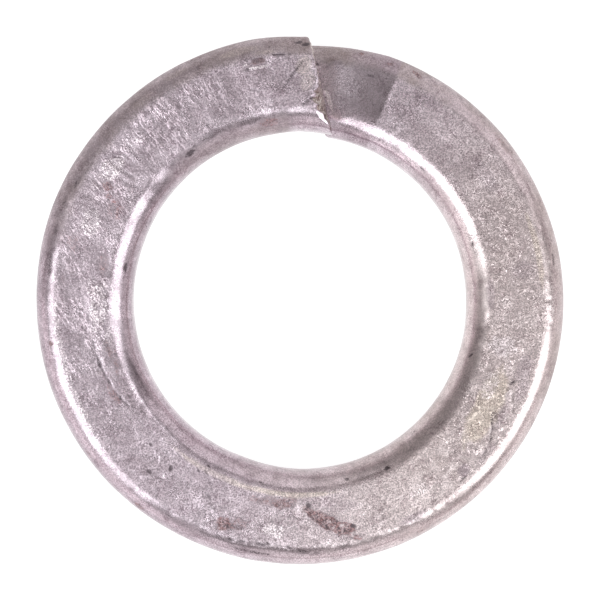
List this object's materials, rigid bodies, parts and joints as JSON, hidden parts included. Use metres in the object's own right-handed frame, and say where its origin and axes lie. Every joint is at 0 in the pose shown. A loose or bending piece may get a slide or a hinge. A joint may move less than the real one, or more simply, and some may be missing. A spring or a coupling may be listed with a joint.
{
  "type": "spring lock washer",
  "caption": "Split spring lock washer: a thick zinc-coated steel ring wound as a flat helix, so that it springs and bites under a bolt head or nut.",
  "frame": {"origin": "on the axis of the bore, at the level of the low end's underside", "axes": "+Z along the bore axis, up from the low end to the raised end; the split is near +Y; +X completes the right-handed frame"},
  "size_m": [0.039, 0.039, 0.0104],
  "materials": {
    "zinc_coated_steel": "hot-dip zinc coating, dull silver with frosty grain, dross wrinkles and light brown stains"
  },
  "bodies": {
    "root": {"spring_washer": "zinc_coated_steel"}
  },
  "joints": []
}
